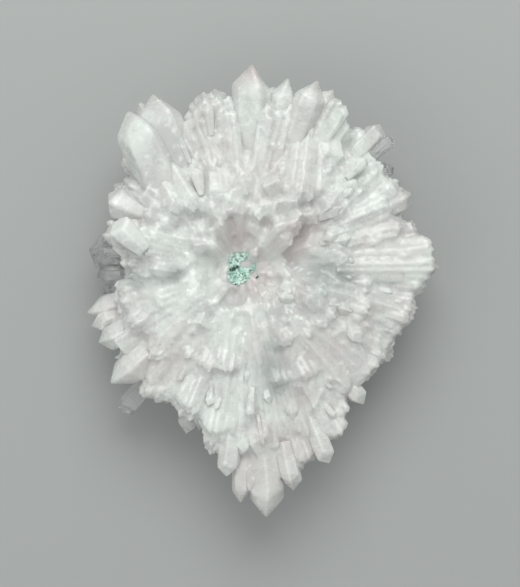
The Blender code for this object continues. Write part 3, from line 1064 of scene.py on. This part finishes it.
def make_clear_ends(ends, dice):
    bm = bmesh.new()
    for tip, aim, width, length in ends:
        crystal = crystal_mesh(
            "clear",
            tip,
            aim,
            length + CLEAR_SOCKET,
            width,
            dice,
            steepness=CLEAR_STEEPNESS,
            root_share=CLEAR_ROOT_SHARE,
        )
        bm.from_mesh(crystal)
        bpy.data.meshes.remove(crystal)
    bmesh.ops.bevel(bm, geom=bm.edges, offset=CLEAR_BEVEL, segments=1, affect="EDGES")
    mesh = bpy.data.meshes.new("clear_ends")
    bm.to_mesh(mesh)
    bm.free()
    return new_piece("clear_ends", mesh, clear_material(), "milky_quartz", "crystal_cluster")


def make_crust(flower):
    dice = random.Random(CRUST_SEED)
    solid = BVHTree.FromObject(frame["nodes"]["celadonite_crust"], bpy.context.evaluated_depsgraph_get())
    quartz = bmesh.new()
    quartz.from_mesh(flower)
    ground = BVHTree.FromBMesh(quartz)
    quartz.free()
    low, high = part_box("celadonite_crust")
    above = high[2] + 5 * MM
    down = Vector((0, 0, -1))
    crumbs = [(GROWTH.x + x * MM, GROWTH.y + y * MM, size * MM) for x, y, size in LOOSE_CRUMBS]
    for _ in range(CRUMB_COUNT):
        x = dice.uniform(low[0], high[0])
        y = dice.uniform(low[1], high[1])
        size = dice.uniform(*CRUMB_SIZE)
        if solid.ray_cast(Vector((x, y, above)), down)[0] is not None:
            crumbs.append((x, y, size))
    bm = bmesh.new()
    for x, y, size in crumbs:
        spot = ground.ray_cast(Vector((x, y, above)), down)[0]
        if spot is None:
            continue
        place = spot + Vector((0, 0, dice.uniform(*CRUMB_RISE)))
        turned = Matrix.Rotation(dice.uniform(0, math.tau), 4, "Z")
        turned = turned @ Matrix.Rotation(dice.uniform(0, 1), 4, "X")
        bmesh.ops.create_icosphere(bm, subdivisions=1, radius=size, matrix=Matrix.Translation(place) @ turned)
    mesh = bpy.data.meshes.new("crumbs")
    bm.to_mesh(mesh)
    bm.free()
    grain = ("REMESH", {"mode": "VOXEL", "voxel_size": CRUMB_GRAIN, "use_smooth_shade": True})
    mesh = with_modifiers(mesh, grain)
    places = coordinates(mesh)
    dark = np.zeros(len(places), np.float32)
    for x, y, size in DARK_SPECKS:
        away = np.hypot(places[:, 0] - GROWTH.x - x * MM, places[:, 1] - GROWTH.y - y * MM)
        dark = np.maximum(dark, np.clip(2 - 2 * away / (size * MM), 0, 1))
    add_attribute(mesh, "dark", dark)
    mesh.name = "green_crust"
    return new_piece("green_crust", mesh, crust_material(), "celadonite", "celadonite_crust")


def floor_material():
    tree = Tree("pale_floor")
    tree.surface.inputs["Base Color"].default_value = rgb(0.40, 0.41, 0.41)
    tree.surface.inputs["Roughness"].default_value = 0.7
    return tree.material


def make_flower():
    dice = random.Random(FLOWER_SEED)
    base = welded(frame["nodes"]["crystal_cluster"].data)
    home = new_collection("grown")
    tips = tips_of(base)
    clear = clear_ends(tips)
    whole = whole_ends(tips)
    drawn_back(base, clear, share=1.0)
    drawn_back(base, whole, share=STUMP_SHARE)
    taken = [end[0] for end in whole] + [nearest_tip(tips, azimuth, out) for azimuth, out, *_ in CLEAR]
    left = [(tip, width) for tip, width in tips if all((tip - other).length > SAME_PLACE for other in taken)]
    grow_petals(left, home, dice)
    grow_long_petals(home, dice)
    grow_druse(home, dice)
    mesh, clouds = gathered(blunted(base, left), home)
    mesh = overgrown(mesh)
    ribbed(mesh)
    mesh.calc_loop_triangles()
    mesh = with_modifiers(mesh, ("DECIMATE", {"ratio": SKIN_TRIANGLES / len(mesh.loop_triangles)}))
    mesh = with_crystals(mesh, whole_crystals(whole, dice) + small_crystals(mesh, dice), clouds)
    outer_skin(mesh, lowest=0.0)
    mesh.shade_smooth()
    mesh.set_sharp_from_angle(angle=SHARP_FROM)
    add_shelter(mesh)
    places = coordinates(mesh)
    add_attribute(mesh, "clear", nearness(places, rim_tips(tips), CLEAR_WITHIN))
    add_attribute(mesh, "lilac", spot_amount(places, LILAC_SPOTS))
    # Painted shade in the pits.
    add_attribute(mesh, "pit_shade", spot_amount(places, PIT_SHADE_SPOTS))
    add_attribute(mesh, "cloud", cloud_amount(mesh, clouds))
    mesh.name = "quartz_flower"
    new_piece("quartz_flower", mesh, quartz_material(), "milky_quartz", "crystal_cluster")
    make_clear_ends(clear, dice)
    return mesh


def make_stage():
    bpy.ops.mesh.primitive_plane_add(size=FLOOR_SIZE, location=(0, 0, 0))
    floor = bpy.context.object
    floor.name = "floor"
    floor.data.materials.append(floor_material())


def area_light(name, place, size, power):
    data = bpy.data.lights.new(name, "AREA")
    data.shape = "DISK"
    data.size = size
    data.energy = power
    data.color = LIGHT_COLOUR
    light = bpy.data.objects.new(name, data)
    bpy.context.scene.collection.objects.link(light)
    light.location = place
    light.rotation_euler = (-Vector(place)).to_track_quat("-Z", "Y").to_euler()


def make_light():
    for light in LIGHTS:
        area_light(*light)
    world = bpy.data.worlds.new("studio")
    bpy.context.scene.world = world
    world.use_nodes = True
    background = world.node_tree.nodes["Background"]
    background.inputs["Color"].default_value = WORLD_COLOUR
    background.inputs["Strength"].default_value = WORLD_STRENGTH
    bpy.context.scene.view_settings.view_transform = "Standard"


def make_camera():
    data = bpy.data.cameras.new("camera")
    data.sensor_fit = "VERTICAL"
    data.sensor_height = 36.0
    span = PICTURE[1] * MM_PER_PIXEL * MM
    data.lens = data.sensor_height * (CAMERA_HEIGHT - FOCUS_HEIGHT) / span
    camera = bpy.data.objects.new("camera", data)
    bpy.context.scene.collection.objects.link(camera)
    camera.location = (*VIEW_CENTRE, CAMERA_HEIGHT)
    bpy.context.scene.camera = camera


make_camera()
make_crust(make_flower())
make_stage()
make_light()
